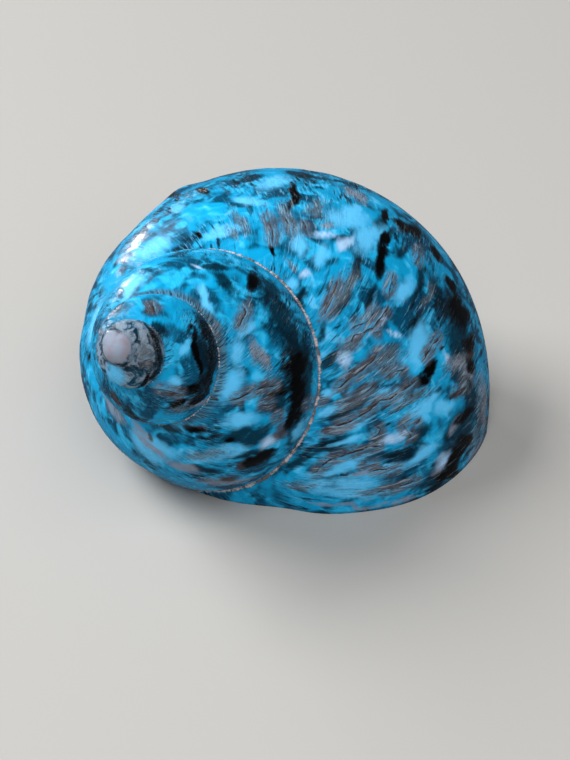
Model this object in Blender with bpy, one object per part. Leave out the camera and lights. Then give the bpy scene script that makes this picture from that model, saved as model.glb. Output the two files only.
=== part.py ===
"""Polished turban shell, lying on its aperture, as one closed solid.

The shell is the trace of one growing edge. Each growth line is the last one turned about the axis and scaled
about the tip, so the whole outside follows from one section, one growth rate and the place of the axis.
The last growth line lies flat on the ground and is the lip.
"""

import math

import bmesh
import bpy
import numpy as np

MM = 0.001

# Where the shell lies: the tip that all growth starts from, and the axis that points to it
TIP = np.array([-18.230, -22.485, 31.11]) * MM
AXIS_RISE = math.radians(36.38)
AXIS_HEADING = math.radians(-118.10)
START_TURN = math.radians(76.09)

# Growth: size per radian of turn, and the section between the suture above and the suture below it
GROWTH = 0.107
SUTURE_RADIUS = 14.888 * MM
SUTURE_DEPTH = 28.778 * MM
SECTION_RADIUS = 21.629 * MM
SECTION_DEPTH = 52.610 * MM
SECTION_BULGE = (13.328 * MM, 8.849 * MM, 7.768 * MM)
SECTION_SAMPLES = 200

# Mesh density
COLUMNS = 14
LINES_PER_WHORL = 36
LINES = 172
LIP_LINES = 16
TIP_RINGS = 4
CAVITY_LINES = 24
BASE_CELL = 2.4 * MM
BASE_CROWDING = 1.15
CURVE_STEPS = 16

# Lip and hollow. The inner lip is given in millimetres on the ground, from the place right under the tip
GROUND_BLEND = 0.35 * MM
INNER_LIP = [
    (40.8, 28.3),
    (35.5, 33.0),
    (28.5, 36.2),
    (21.5, 37.2),
    (16.5, 34.5),
    (13.5, 29.0),
    (11.5, 23.5),
    (9.0, 18.5),
]
LIP_WALL = 1.5 * MM
COLUMELLA_WALL = 2.4 * MM
LIP_SMOOTHING = 3
CAVITY_TURN = math.radians(215)
CAVITY_NARROWING = 2.6
BASE_UNDERCUT = 0.35
BASE_FULLNESS = 0.8
TIP_DOME_DEPTH = 1.8 * MM

# Where the lip is looked for, and about where the lower suture reaches the ground
LIP_SEARCH = (math.radians(-150), math.radians(75), 901)
LIP_START = math.radians(-58)

# Low swells (+) and hollows (-) of the flank: growth angle in degrees, share from upper to lower suture, the
# spread of each, and height in millimetres
RELIEF = [
    (-950.0, 0.55, 330.0, 0.30, 0.30),
    (-68.0, 1.02, 28.0, 0.32, -0.68),
    (-36.0, 0.55, 15.0, 0.32, 0.80),
    (2.0, 0.15, 17.0, 0.11, -1.55),
    (-312.0, 0.70, 24.0, 0.20, -0.50),
    (-187.0, 0.71, 5.0, 0.10, 0.50),
    (-206.0, 0.57, 8.0, 0.15, -0.32),
    (-243.0, 0.50, 7.0, 0.15, -0.32),
]

# Colour
SHELL_BLUE = (0.035, 0.22, 0.42, 1.0)
SHELL_ROUGHNESS = 0.14


def unit(vector):
    return vector / np.linalg.norm(vector)


def shell_axes():
    """The axis towards the tip, +X squared up to it, and the third direction."""
    axis = np.array([
        math.cos(AXIS_RISE) * math.cos(AXIS_HEADING),
        math.cos(AXIS_RISE) * math.sin(AXIS_HEADING),
        math.sin(AXIS_RISE),
    ])
    across = unit(np.array([1.0, 0.0, 0.0]) - axis * axis[0])
    return axis, across, np.cross(axis, across)


AXIS, ACROSS, ALONG = shell_axes()


def grown(angle, radius, depth):
    """The point at a growth angle, for a place in the section given by its radius and depth at angle 0."""
    turn = -(angle + START_TURN)
    size = math.exp(GROWTH * angle)
    around = ACROSS * math.cos(turn) + ALONG * math.sin(turn)
    return TIP + size * (radius * around - depth * AXIS)


def flank_point(angle, share, radius, depth):
    """A point of the flank, with its swells and hollows."""
    height = sum(
        high * math.exp(-((math.degrees(angle) - at) / spread) ** 2 - ((share - place) / width) ** 2)
        for at, place, spread, width, high in RELIEF
    )
    out = unit(np.array([radius - SECTION_RADIUS, depth - SECTION_DEPTH]))
    out = out * height * MM / math.exp(GROWTH * angle)
    return grown(angle, radius + out[0], depth + out[1])


def regrown(point, angle):
    """A point carried along the growth by an angle: turned about the axis and scaled about the tip."""
    arm = point - TIP
    turned = (
        arm * math.cos(angle)
        - np.cross(AXIS, arm) * math.sin(angle)
        + AXIS * np.dot(AXIS, arm) * (1.0 - math.cos(angle))
    )
    return TIP + math.exp(GROWTH * angle) * turned


def spaced(points, count):
    """A polyline resampled to evenly spaced points."""
    points = np.array(points)
    steps = np.linalg.norm(np.diff(points, axis=0), axis=1)
    length = np.concatenate([[0.0], np.cumsum(steps)])
    wanted = np.linspace(0.0, length[-1], count)
    return np.stack([np.interp(wanted, length, points[:, axis]) for axis in range(points.shape[1])], axis=1)


def section():
    """Radius and depth of each column, from the upper suture over the shoulder to the lower suture."""
    whorl = math.exp(2.0 * math.pi * GROWTH)
    centre = np.array([SECTION_RADIUS, SECTION_DEPTH])
    upper = np.array([SUTURE_RADIUS, SUTURE_DEPTH])
    arms = [upper - centre, upper * whorl - centre]
    bearings = [math.atan2(-arm[1], arm[0]) for arm in arms]
    reach = [np.linalg.norm(arms[0]), *SECTION_BULGE, np.linalg.norm(arms[1])]
    curve = np.polyfit(np.linspace(0.0, 1.0, len(reach)), reach, len(reach) - 1)
    share = np.linspace(0.0, 1.0, SECTION_SAMPLES)
    bearing = bearings[0] + (bearings[1] - bearings[0]) * share
    radius = centre[0] + np.polyval(curve, share) * np.cos(bearing)
    depth = centre[1] - np.polyval(curve, share) * np.sin(bearing)
    return spaced(np.stack([radius, depth], axis=1), COLUMNS + 1)


def lip_angles(columns):
    """The growth angle at which each column comes down to the ground, from the lower suture to the upper."""
    angles = np.linspace(*LIP_SEARCH)
    found = []
    near = LIP_START
    for column in range(COLUMNS, -1, -1):
        height = np.array([flank_point(angle, column / COLUMNS, *columns[column])[2] for angle in angles])
        hits = np.where((height[:-1] > 0.0) & (height[1:] <= 0.0))[0]
        part = height[hits] / (height[hits] - height[hits + 1])
        roots = angles[hits] + part * (angles[1] - angles[0])
        near = roots[np.abs(roots - near).argmin()]
        found.append(near)
    return np.array(found[::-1])


def smooth_curve(points, count):
    """A Catmull-Rom curve through the points, evenly resampled."""
    points = [np.array(point, float) for point in points]
    ends = [2.0 * points[0] - points[1], *points, 2.0 * points[-1] - points[-2]]
    traced = []
    for a, b, c, d in zip(ends, ends[1:], ends[2:], ends[3:]):
        for t in np.linspace(0.0, 1.0, CURVE_STEPS, endpoint=False):
            traced.append(
                b + 0.5 * t * (c - a + t * (2.0 * a - 5.0 * b + 4.0 * c - d + t * (3.0 * (b - c) + d - a)))
            )
    traced.append(points[-1])
    return spaced(traced, count)


def above_ground(point):
    """Points under the ground are brought up to it, and those close above it follow smoothly."""
    height = point[2]
    lifted = point.copy()
    if height <= -GROUND_BLEND:
        lifted[2] = 0.0
    elif height < GROUND_BLEND:
        lifted[2] = (height + GROUND_BLEND) ** 2 / (4.0 * GROUND_BLEND)
    return lifted


class Skin:
    """Vertices and faces of the one solid."""

    def __init__(self):
        self.points = []
        self.faces = []

    def add(self, point):
        self.points.append(np.array(point, float))
        return len(self.points) - 1

    def face(self, corners):
        kept = [corner for place, corner in enumerate(corners) if corner != corners[place - 1]]
        if len(kept) > 2:
            self.faces.append(kept)

    def zip_lines(self, first, second):
        """Triangles between two lines of vertices that may differ in count."""
        i = 0
        j = 0
        while i < len(first) - 1 or j < len(second) - 1:
            ahead_i = (i + 1) / max(len(first) - 1, 1)
            ahead_j = (j + 1) / max(len(second) - 1, 1)
            if j == len(second) - 1 or (i < len(first) - 1 and ahead_i <= ahead_j):
                self.face([first[i], first[i + 1], second[j]])
                i += 1
            else:
                self.face([first[i], second[j + 1], second[j]])
                j += 1


def add_whorls(skin, columns, lips):
    """The coiled flank: growth lines by columns, each lower suture sharing the next whorl's upper suture."""
    slant = lips[-1] - lips[0]
    step = (2.0 * math.pi + slant) / LINES_PER_WHORL
    first = lips[0] - LINES * step
    lean = np.linspace(0.0, slant, COLUMNS + 1)
    index = {}
    for line in range(LINES + 1):
        share = max(0.0, (line - LINES + LIP_LINES) / LIP_LINES)
        ease = share * share * (3.0 - 2.0 * share)
        for column in range(COLUMNS + 1):
            if column == COLUMNS and line + LINES_PER_WHORL <= LINES:
                continue
            angle = first + line * step + lean[column]
            angle += ease * (lips[column] - lips[0] - lean[column])
            point = flank_point(angle, column / COLUMNS, *columns[column])
            if line == LINES:
                point[2] = 0.0
            index[line, column] = skin.add(point if line == LINES else above_ground(point))
    for line in range(LINES + 1 - LINES_PER_WHORL):
        index[line, COLUMNS] = index[line + LINES_PER_WHORL, 0]
    for line in range(LINES):
        for column in range(COLUMNS):
            skin.face([
                index[line, column],
                index[line + 1, column],
                index[line + 1, column + 1],
                index[line, column + 1],
            ])
    return index


def add_tip(skin, index):
    """The smooth first whorl: a dome over the opening left at the first growth line."""
    edge = [index[0, column] for column in range(COLUMNS)]
    edge += [index[line, 0] for line in range(LINES_PER_WHORL, 0, -1)]
    top = TIP - AXIS * TIP_DOME_DEPTH
    outer = edge
    for ring in range(TIP_RINGS - 1, 0, -1):
        share = ring / TIP_RINGS
        level = 1.0 - math.sqrt(1.0 - share * share)
        inner = []
        for vertex in edge:
            arm = skin.points[vertex] - top
            drop = AXIS * np.dot(arm, AXIS)
            inner.append(skin.add(top + (arm - drop) * share + drop * level))
        for place in range(len(edge)):
            skin.face([outer[place - 1], outer[place], inner[place], inner[place - 1]])
        outer = inner
    centre = skin.add(top)
    for place in range(len(edge)):
        skin.face([outer[place - 1], outer[place], centre])


def add_base(skin, index):
    """The base, from the last whorl's lower edge to the basal and inner lip. It gives the lip's vertices."""
    start = LINES - LINES_PER_WHORL
    edge = [index[start + line, COLUMNS] for line in range(LINES_PER_WHORL + 1)]
    beside = [index[start + line, COLUMNS - 1] for line in range(LINES_PER_WHORL + 1)]
    ground = TIP * (1.0, 1.0, 0.0)
    middle = [ground + np.array([x, y, 0.0]) * MM for x, y in INNER_LIP]
    lip = smooth_curve([skin.points[edge[-1]], *middle, skin.points[edge[0]]], LINES_PER_WHORL + 1)[::-1]
    centre = lip.mean(axis=0)
    rim = []
    before = [edge[0]]
    for line in range(1, LINES_PER_WHORL + 1):
        high = skin.points[edge[line]]
        low = lip[line]
        gap = np.linalg.norm(high - low)
        leave = unit(high - skin.points[beside[line]]) * gap
        arrive = unit(unit(centre - low) * BASE_UNDERCUT + np.array([0.0, 0.0, -1.0])) * gap * BASE_FULLNESS
        count = max(1, round(BASE_CROWDING * gap / BASE_CELL)) if line < LINES_PER_WHORL else 0
        row = [edge[line]]
        for place in range(1, count + 1):
            t = place / count
            point = (
                (2.0 * t ** 3 - 3.0 * t ** 2 + 1.0) * high
                + (t ** 3 - 2.0 * t ** 2 + t) * leave
                + (3.0 * t ** 2 - 2.0 * t ** 3) * low
                + (t ** 3 - t ** 2) * arrive
            )
            row.append(skin.add(low if place == count else above_ground(point)))
        skin.zip_lines(before, row)
        before = row
        rim.append(row[-1])
    return rim[:-1]


def add_lip_and_cavity(skin, rim, columella):
    """The flat rim on the ground and the hollow that runs back from it into the last whorl."""
    centre = np.mean([skin.points[vertex] for vertex in rim], axis=0)
    inner = []
    for vertex in rim:
        arm = skin.points[vertex] - centre
        wall = COLUMELLA_WALL if vertex in columella else LIP_WALL
        inner.append(arm * (1.0 - wall / np.linalg.norm(arm)))
    inner = np.array(inner)
    for _ in range(LIP_SMOOTHING):
        inner = (np.roll(inner, 1, axis=0) + 2.0 * inner + np.roll(inner, -1, axis=0)) / 4.0
    before = rim
    for line in range(CAVITY_LINES):
        share = line / CAVITY_LINES
        narrow = math.sqrt(1.0 - share ** CAVITY_NARROWING)
        angle = -CAVITY_TURN * share
        ring = [skin.add(regrown(centre + arm * narrow, angle)) for arm in inner]
        for place in range(len(ring)):
            skin.face([before[place - 1], before[place], ring[place], ring[place - 1]])
        before = ring
    end = skin.add(regrown(centre, -CAVITY_TURN))
    for place in range(len(before)):
        skin.face([before[place - 1], before[place], end])


def glossy_shell():
    material = bpy.data.materials.new("polished_shell")
    material.use_nodes = True
    shader = material.node_tree.nodes["Principled BSDF"]
    shader.inputs["Base Color"].default_value = SHELL_BLUE
    shader.inputs["Roughness"].default_value = SHELL_ROUGHNESS
    shader.inputs["Metallic"].default_value = 0.0
    return material


def build_shell():
    skin = Skin()
    columns = section()
    lips = lip_angles(columns)
    index = add_whorls(skin, columns, lips)
    add_tip(skin, index)
    inner_side = add_base(skin, index)
    outer_side = [index[LINES, column] for column in range(COLUMNS, -1, -1)]
    rim = inner_side + outer_side
    add_lip_and_cavity(skin, rim, set(inner_side[: len(inner_side) // 2]))
    mesh = bpy.data.meshes.new("shell")
    mesh.from_pydata([tuple(point) for point in skin.points], [], skin.faces)
    solid = bmesh.new()
    solid.from_mesh(mesh)
    bmesh.ops.triangulate(solid, faces=solid.faces)
    bmesh.ops.recalc_face_normals(solid, faces=solid.faces)
    solid.to_mesh(mesh)
    solid.free()
    mesh.polygons.foreach_set("use_smooth", [True] * len(mesh.polygons))
    mesh.materials.append(glossy_shell())
    shell = bpy.data.objects.new("shell", mesh)
    bpy.context.scene.collection.objects.link(shell)
    return shell


for old in list(bpy.data.objects):
    bpy.data.objects.remove(old, do_unlink=True)
build_shell()
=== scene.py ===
"""Polished turban shell, dyed blue, lying on its aperture.

The coil is laid out flat first, one point for each place of the growing edge, and a Geometry Nodes tree
rolls it up by the shell's growth law. The base, the lip and the hollow are added to the same skin. Marks of
the polished surface are placed on the photograph's frame and carried to the skin along the camera's rays.
Some of them are painted light: painted shade down the whorls' right sides above their sutures and on the
right side, small painted reflections, a painted glow beside the upper left highlight and a painted sheen
along the right and lower edges. The colour also holds a painted highlight on the cracks' ledges and painted
shade in the pleats' folds.
"""

import math

import bmesh
import bpy
import numpy as np
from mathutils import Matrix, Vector, noise
from mathutils.bvhtree import BVHTree
from mathutils.kdtree import KDTree


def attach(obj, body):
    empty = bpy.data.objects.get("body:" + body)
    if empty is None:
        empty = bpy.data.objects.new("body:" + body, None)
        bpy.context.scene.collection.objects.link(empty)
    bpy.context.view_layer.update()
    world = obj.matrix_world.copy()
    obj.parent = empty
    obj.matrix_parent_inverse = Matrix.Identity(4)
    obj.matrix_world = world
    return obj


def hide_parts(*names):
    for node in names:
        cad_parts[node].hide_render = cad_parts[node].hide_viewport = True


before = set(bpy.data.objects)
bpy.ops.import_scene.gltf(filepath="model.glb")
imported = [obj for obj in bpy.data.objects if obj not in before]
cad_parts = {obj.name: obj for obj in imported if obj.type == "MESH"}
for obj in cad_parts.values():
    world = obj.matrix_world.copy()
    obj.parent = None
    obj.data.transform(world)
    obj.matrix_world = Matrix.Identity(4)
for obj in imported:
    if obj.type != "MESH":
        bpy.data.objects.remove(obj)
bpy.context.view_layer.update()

MM = 0.001

# Where the shell lies: the tip that all growth starts from, and the axis that points to it
TIP = np.array([-18.230, -22.485, 31.11]) * MM
AXIS_RISE = math.radians(36.38)
AXIS_HEADING = math.radians(-118.10)
START_TURN = math.radians(76.09)

# Growth: size per radian of turn, and the section between the suture above and the suture below it
GROWTH = 0.107
SUTURE_RADIUS = 14.888 * MM
SUTURE_DEPTH = 28.778 * MM
SECTION_RADIUS = 21.629 * MM
SECTION_DEPTH = 52.610 * MM
SECTION_BULGE = (13.328 * MM, 8.849 * MM, 7.768 * MM)
SECTION_STEPS = 200

# Where along the growth the lip is looked for, and about where the lower suture comes down to the ground
LIP_SEARCH = (math.radians(-150), math.radians(75))
LIP_SEARCH_STEPS = 901
LOWER_LIP_NEAR = math.radians(-58)

# Lip and hollow, with the inner lip as places on the ground in millimetres from the tip's own place on it
GROUND_BLEND = 0.35 * MM
INNER_LIP = [
    (40.8, 28.3), (35.5, 33.0), (28.5, 36.2), (21.5, 37.2),
    (16.5, 34.5), (13.5, 29.0), (11.5, 23.5), (9.0, 18.5),
]
LIP_WALL = 1.5 * MM
COLUMELLA_WALL = 2.4 * MM
CAVITY_TURN = math.radians(215)
CAVITY_TAPER = 2.6
CAVITY_ROUNDINGS = 60
TIP_DOME_DEPTH = 1.8 * MM

# Base: how it leans and pulls where it arrives at the lip, how much longer than straight it is, and the
# length over which the growth map runs one share on
ARRIVAL_LEAN = 0.35
ARRIVAL_PULL = 0.8
BASE_BOW = 1.15
BASE_MAP_LENGTH = 40.0 * MM

# Low swells (+) and hollows (-) of the flank: growth angle in degrees, share from the upper to the lower
# suture, the spread of each, and height in millimetres
RELIEF = [
    (-950.0, 0.55, 330.0, 0.30, 0.30),
    (-68.0, 1.02, 28.0, 0.32, -0.68),
    (-36.0, 0.55, 15.0, 0.32, 0.80),
    (2.0, 0.15, 17.0, 0.11, -1.55),
    (-312.0, 0.70, 24.0, 0.20, -0.50),
    (-187.0, 0.71, 5.0, 0.10, 0.50),
    (-206.0, 0.57, 8.0, 0.15, -0.32),
    (-243.0, 0.50, 7.0, 0.15, -0.32),
]

# Mesh density of the skin
COLUMNS = 50
LINES_PER_WHORL = 192
LINES = 918
LIP_LINES = 86
TIP_RINGS = 12
CAVITY_LINES = 28
BASE_CELL = 0.75 * MM
CURVE_STEPS = 16

# Wrinkles fade out by this share at the sutures and by this height at the ground
WRINKLE_EDGE = 0.08
WRINKLE_CLEAR = 2.0 * MM

# Pleats under the suture: the shares they start and end by, the turns they lie between, and their fades
PLEAT_START = 0.015
PLEAT_END = 0.085
PLEAT_FADE = 0.05
PLEAT_TURNS = (-1.75, -0.9)
PLEAT_TURNS_FADE = 0.2

# The thread in the suture: where it starts, how far short of the lip it stops, and its beads' sizes
THREAD_START = math.radians(-1180.0)
THREAD_STOP = 0.02
THREAD_POINTS = 1500
BEAD_SIZES = (0.55, 1.3)
BEAD_SHAPE = (0.95, 0.8, 0.8)

# The photograph's frame, the view it was taken from and about what one of its pixels spans on the shell
FRAME_WIDTH = 570.0
FRAME_HEIGHT = 760.0
VIEW_RISE = math.radians(39.159)
VIEW_PLACE = Vector((-0.000286, -0.195190, 0.167434))
VIEW_LENS = 104.21
SENSOR = 36.0
PIXEL = 0.1 * MM

# Cracks: how close their points are, how far and in what waves they wander, and how they fade
SEAM_STEP = 0.08 * MM
SEAM_WOBBLE = 0.14 * MM
WOBBLE_WAVE = 0.9 * MM
SEAM_END = 1.2 * MM
FADE_WAVE = 1.1 * MM
FADE_SHIFT = Vector((7.0, 0.0, 0.0))
SEAM_STRENGTH = 0.80
SEAM_FAINTEST = 0.45

# Cracks: their reach, where faces are split, the groove, the ledge on one side and the frayed band
SEAM_REACH = 0.75 * MM
SPLIT_REACHES = (0.60 * MM, 0.30 * MM)
SEAM_WIDTH = 0.08 * MM
SEAM_DEPTH = 0.08 * MM
LEDGE_WIDTH = 0.42 * MM
LEDGE_HEIGHT = 0.13 * MM
FRAYED_WIDTH = 0.95 * MM
FRAYED_REACH = 3.0 * FRAYED_WIDTH

# How far a mark's outline drifts: the size of the drift's waves, and the drift
DRIFT_COARSE = (2.6 * MM, 0.75 * MM)
DRIFT_FINE = (0.8 * MM, 0.30 * MM)

# A mark's most stretch on a slanting side, its depth to its length, and the turns of growth it stays within
MOST_STRETCH = 3.0
MARK_DEPTH = 0.8
MARK_TURNS = 0.4

# Scattered marks: height they keep above the ground, sizes, lean from the growth line and its spread, and
# how close the camera's ray has to come for a place to be in view
SCATTER_CLEAR = 0.3 * MM
SCATTER_SIZES = (0.4, 1.5)
SCATTER_LEAN = (-0.6, 0.15)
SIGHT_LIFT = 0.1 * MM
SIGHT_SLACK = 0.3 * MM

# Growth lines lag behind the upper suture by this many degrees at a share across the whorl
LAG_START = 80.0
LAG_CURVE = -25.0

# The worn bulb at the tip
BULB_RADIUS = 1.75 * MM

# One seed for the scattered marks and for the drift of every mark's outline
SEED = 11
RNG = np.random.default_rng(SEED)
noise.seed_set(SEED)


def unit(vector):
    """The vector at length 1."""
    return vector / np.linalg.norm(vector)


def ramp(value, span):
    """0 up to 0, then evenly up to 1 at the span."""
    return np.clip(value / span, 0.0, 1.0)


def shell_axes():
    """The axis towards the tip, +X squared up to it, and the third direction."""
    axis = np.array([
        math.cos(AXIS_RISE) * math.cos(AXIS_HEADING),
        math.cos(AXIS_RISE) * math.sin(AXIS_HEADING),
        math.sin(AXIS_RISE),
    ])
    across = unit(np.array([1.0, 0.0, 0.0]) - axis * axis[0])
    return axis, across, np.cross(axis, across)


AXIS, ACROSS, ALONG = shell_axes()


def grown(plan):
    """Places of the growth plan rolled up: each row is a growth angle, and a radius and depth at angle 0."""
    angle = plan[..., 0:1]
    radius = plan[..., 1:2]
    depth = plan[..., 2:3]
    turn = -(angle + START_TURN)
    around = ACROSS * np.cos(turn) + ALONG * np.sin(turn)
    return TIP + np.exp(GROWTH * angle) * (radius * around - depth * AXIS)


def regrown(points, angle):
    """Points carried along the growth by an angle: turned about the axis and scaled about the tip."""
    arm = points - TIP
    turned = (
        arm * math.cos(angle)
        - np.cross(AXIS, arm) * math.sin(angle)
        + AXIS * (arm @ AXIS)[..., None] * (1.0 - math.cos(angle))
    )
    return TIP + math.exp(GROWTH * angle) * turned


def spaced(points, count):
    """A polyline resampled to evenly spaced points."""
    points = np.array(points)
    steps = np.linalg.norm(np.diff(points, axis=0), axis=1)
    length = np.concatenate([[0.0], np.cumsum(steps)])
    wanted = np.linspace(0.0, length[-1], count)
    return np.stack([np.interp(wanted, length, values) for values in points.T], axis=1)


def section():
    """Radius and depth of each column, from the upper suture over the shoulder to the lower suture."""
    whorl = math.exp(2.0 * math.pi * GROWTH)
    centre = np.array([SECTION_RADIUS, SECTION_DEPTH])
    upper = np.array([SUTURE_RADIUS, SUTURE_DEPTH])
    arms = [upper - centre, upper * whorl - centre]
    bearings = [math.atan2(-arm[1], arm[0]) for arm in arms]
    reach = [np.linalg.norm(arms[0]), *SECTION_BULGE, np.linalg.norm(arms[1])]
    curve = np.polyfit(np.linspace(0.0, 1.0, len(reach)), reach, len(reach) - 1)
    share = np.linspace(0.0, 1.0, SECTION_STEPS)
    bearing = bearings[0] + (bearings[1] - bearings[0]) * share
    radius = centre[0] + np.polyval(curve, share) * np.cos(bearing)
    depth = centre[1] - np.polyval(curve, share) * np.sin(bearing)
    return spaced(np.stack([radius, depth], axis=1), COLUMNS + 1)


def swollen(angle, columns):
    """The growth plan of whole growth lines with the flank's swells, from each column's angle."""
    share = np.linspace(0.0, 1.0, COLUMNS + 1)
    height = sum(
        high * np.exp(-((np.degrees(angle) - at) / spread) ** 2 - ((share - place) / width) ** 2)
        for at, place, spread, width, high in RELIEF
    )
    out = columns - np.array([SECTION_RADIUS, SECTION_DEPTH])
    out = out / np.linalg.norm(out, axis=1)[:, None]
    moved = columns + out * (height * MM / np.exp(GROWTH * angle))[..., None]
    return np.concatenate([angle[..., None], moved], axis=-1)


def lip_angles(columns):
    """The growth angle at which each column comes down to the ground, from the lower suture to the upper."""
    near = LOWER_LIP_NEAR
    angles = np.linspace(*LIP_SEARCH, LIP_SEARCH_STEPS)
    heights = grown(swollen(np.repeat(angles[:, None], COLUMNS + 1, axis=1), columns))[..., 2]
    found = []
    for column in range(COLUMNS, -1, -1):
        height = heights[:, column]
        hits = np.where((height[:-1] > 0.0) & (height[1:] <= 0.0))[0]
        part = height[hits] / (height[hits] - height[hits + 1])
        roots = angles[hits] + part * (angles[1] - angles[0])
        near = roots[np.abs(roots - near).argmin()]
        found.append(near)
    return np.array(found[::-1])


def smooth_curve(points, count):
    """A Catmull-Rom curve through the points, evenly resampled."""
    points = [np.array(point, float) for point in points]
    ends = [2.0 * points[0] - points[1], *points, 2.0 * points[-1] - points[-2]]
    traced = []
    for a, b, c, d in zip(ends, ends[1:], ends[2:], ends[3:]):
        for t in np.linspace(0.0, 1.0, CURVE_STEPS, endpoint=False):
            traced.append(
                b + 0.5 * t * (c - a + t * (2.0 * a - 5.0 * b + 4.0 * c - d + t * (3.0 * (b - c) + d - a)))
            )
    traced.append(points[-1])
    return spaced(traced, count)


def above_ground(points):
    """Points under the ground are brought up to it, and those close above it follow smoothly."""
    lifted = np.array(points, float)
    height = lifted[..., 2]
    near = np.clip(height + GROUND_BLEND, 0.0, 2.0 * GROUND_BLEND)
    lifted[..., 2] = near ** 2 / (4.0 * GROUND_BLEND) + np.maximum(height - GROUND_BLEND, 0.0)
    return lifted


class Skin:
    """Vertices and faces of the whole skin. A coiled vertex is stored by its place in the growth plan."""

    def __init__(self):
        self.points = []
        self.plan = []
        self.coiled = []
        self.age = []
        self.share = []
        self.hollow = []
        self.faces = []
        self.maps = []

    def add(self, point, plan=None, age=0.0, share=1.0, hollow=0.0):
        """Adds a vertex, which belongs to the coil if it has a plan."""
        self.points.append(np.array(point, float))
        self.plan.append(point if plan is None else plan)
        self.coiled.append(plan is not None)
        self.age.append(age)
        self.share.append(share)
        self.hollow.append(hollow)
        return len(self.points) - 1

    def face(self, corners, places=None):
        """A face by its corners, with places for their age and share where a vertex has others."""
        places = places or [(self.age[corner], self.share[corner]) for corner in corners]
        kept = [place for place, corner in enumerate(corners) if corner != corners[place - 1]]
        if len(kept) > 2:
            self.faces.append([corners[place] for place in kept])
            self.maps.extend(places[place] for place in kept)

    def zip_lines(self, first, second):
        """Triangles between two lines of vertices that may differ in count."""
        i = 0
        j = 0
        while i < len(first) - 1 or j < len(second) - 1:
            ahead_i = (i + 1) / max(len(first) - 1, 1)
            ahead_j = (j + 1) / max(len(second) - 1, 1)
            if j == len(second) - 1 or (i < len(first) - 1 and ahead_i <= ahead_j):
                self.face([first[i], first[i + 1], second[j]])
                i += 1
            else:
                self.face([first[i], second[j + 1], second[j]])
                j += 1


def line_age(angle, share):
    """The growth line's age in turns: the growth angle with the line's lag taken out."""
    return angle / (2.0 * math.pi) + (LAG_START + LAG_CURVE * share) * share / 360.0


def add_whorls(skin, columns, lips):
    """The coiled flank: growth lines by columns, each lower suture sharing the next whorl's upper suture."""
    slant = lips[-1] - lips[0]
    step = (2.0 * math.pi + slant) / LINES_PER_WHORL
    line = np.arange(LINES + 1)
    lean = np.linspace(0.0, slant, COLUMNS + 1)
    ease = ramp(line - LINES + LIP_LINES, LIP_LINES)
    ease = ease * ease * (3.0 - 2.0 * ease)
    angle = lips[0] + (line[:, None] - LINES) * step + lean + ease[:, None] * (lips - lips[0] - lean)
    plan = swollen(angle, columns)
    real = above_ground(grown(plan))
    real[-1, :, 2] = 0.0
    share = np.linspace(0.0, 1.0, COLUMNS + 1)
    age = line_age(angle, share)
    index = np.zeros(angle.shape, int)
    for row in range(LINES + 1):
        for column in range(COLUMNS + 1):
            if column == COLUMNS and row + LINES_PER_WHORL <= LINES:
                continue
            index[row, column] = skin.add(
                real[row, column], plan[row, column], age[row, column], share[column]
            )
    index[: LINES + 1 - LINES_PER_WHORL, COLUMNS] = index[LINES_PER_WHORL:, 0]
    for row in range(LINES):
        for column in range(COLUMNS):
            corners = [(row, column), (row + 1, column), (row + 1, column + 1), (row, column + 1)]
            skin.face(
                [int(index[corner]) for corner in corners],
                [(age[corner], share[corner[1]]) for corner in corners],
            )
    return index


def add_tip(skin, index):
    """The smooth first whorl: a dome over the opening left at the first growth line."""
    edge = [int(index[0, column]) for column in range(COLUMNS)]
    edge += [int(index[line, 0]) for line in range(LINES_PER_WHORL, 0, -1)]
    top = TIP - AXIS * TIP_DOME_DEPTH
    outer = edge
    oldest = float(skin.age[edge[0]])
    for ring in range(TIP_RINGS - 1, 0, -1):
        share = ring / TIP_RINGS
        level = 1.0 - math.sqrt(1.0 - share * share)
        inner = []
        for vertex in edge:
            arm = skin.points[vertex] - top
            drop = AXIS * np.dot(arm, AXIS)
            inner.append(skin.add(top + (arm - drop) * share + drop * level, age=oldest, share=share))
        for place in range(len(edge)):
            skin.face([outer[place - 1], outer[place], inner[place], inner[place - 1]])
        outer = inner
    centre = skin.add(top, age=oldest, share=0.0)
    for place in range(len(edge)):
        skin.face([outer[place - 1], outer[place], centre])


def add_base(skin, index):
    """The base, from the last whorl's lower edge to the basal and inner lip. It gives the lip's vertices."""
    start = LINES - LINES_PER_WHORL
    edge = [int(index[start + line, COLUMNS]) for line in range(LINES_PER_WHORL + 1)]
    beside = [int(index[start + line, COLUMNS - 1]) for line in range(LINES_PER_WHORL + 1)]
    ground = TIP * (1.0, 1.0, 0.0)
    middle = [ground + np.array([x, y, 0.0]) * MM for x, y in INNER_LIP]
    lip = smooth_curve([skin.points[edge[-1]], *middle, skin.points[edge[0]]], LINES_PER_WHORL + 1)[::-1]
    centre = lip.mean(axis=0)
    rim = []
    before = [edge[0]]
    for line in range(1, LINES_PER_WHORL + 1):
        high = skin.points[edge[line]]
        low = lip[line]
        gap = np.linalg.norm(high - low)
        leave = unit(high - skin.points[beside[line]]) * gap
        arrive = unit(unit(centre - low) * ARRIVAL_LEAN + np.array([0.0, 0.0, -1.0])) * gap * ARRIVAL_PULL
        count = max(1, round(BASE_BOW * gap / BASE_CELL)) if line < LINES_PER_WHORL else 0
        row = [edge[line]]
        age = skin.age[beside[line]]
        for place in range(1, count + 1):
            t = place / count
            point = (
                (2.0 * t ** 3 - 3.0 * t ** 2 + 1.0) * high
                + (t ** 3 - 2.0 * t ** 2 + t) * leave
                + (3.0 * t ** 2 - 2.0 * t ** 3) * low
                + (t ** 3 - t ** 2) * arrive
            )
            point = low if place == count else above_ground(point)
            row.append(skin.add(point, age=age, share=1.0 + t * gap / BASE_MAP_LENGTH))
        skin.zip_lines(before, row)
        before = row
        rim.append(row[-1])
    return rim[:-1]


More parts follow.
